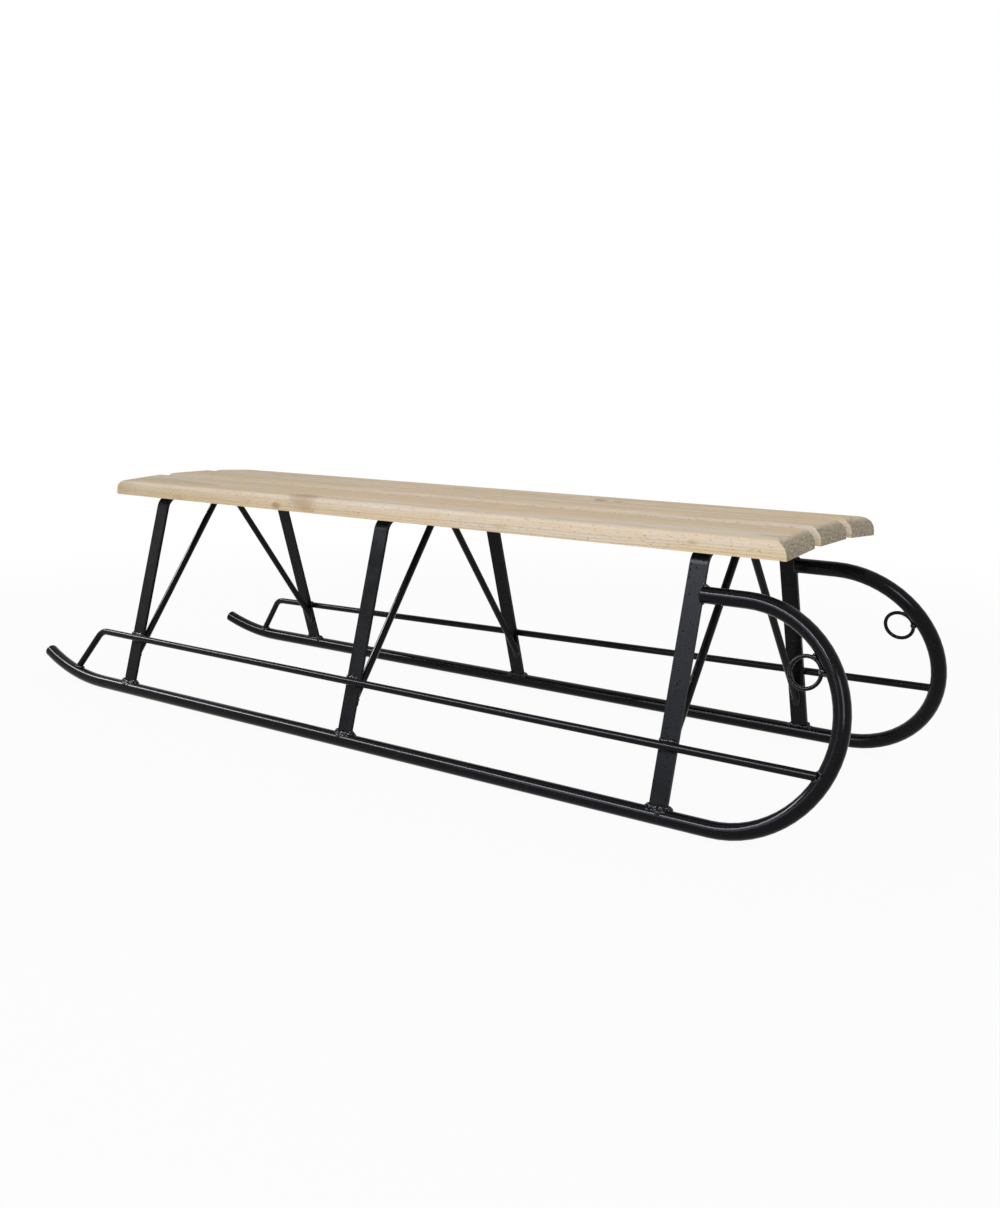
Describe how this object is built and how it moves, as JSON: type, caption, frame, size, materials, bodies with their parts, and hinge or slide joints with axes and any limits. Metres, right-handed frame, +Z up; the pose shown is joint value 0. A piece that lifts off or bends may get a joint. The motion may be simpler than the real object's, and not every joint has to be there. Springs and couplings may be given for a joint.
{
  "type": "sled",
  "caption": "Low sled for two: bent steel tube runners with big front bends, flat-bar hoops braced by round bars, and a slatted wooden seat.",
  "frame": {"origin": "middle of the sled's length and width, on the ground under the runners", "axes": "+X forward to the big front bends, +Y to the sled's left, +Z up"},
  "size_m": [1.1936, 0.3812, 0.29],
  "materials": {
    "frame_paint": "semi-gloss black paint over welded steel",
    "slat_wood": "planed bare softwood"
  },
  "bodies": {
    "root": {"runner_left": "frame_paint", "runner_right": "frame_paint", "hoop_rear": "frame_paint", "hoop_middle": "frame_paint", "hoop_front": "frame_paint", "brace_rear_left": "frame_paint", "brace_rear_right": "frame_paint", "brace_middle_left": "frame_paint", "brace_middle_right": "frame_paint", "brace_front_left": "frame_paint", "brace_front_right": "frame_paint", "side_rod_left": "frame_paint", "side_rod_right": "frame_paint", "tow_ring_left": "frame_paint", "tow_ring_right": "frame_paint", "slat_left": "slat_wood", "slat_middle": "slat_wood", "slat_right": "slat_wood"}
  },
  "joints": []
}
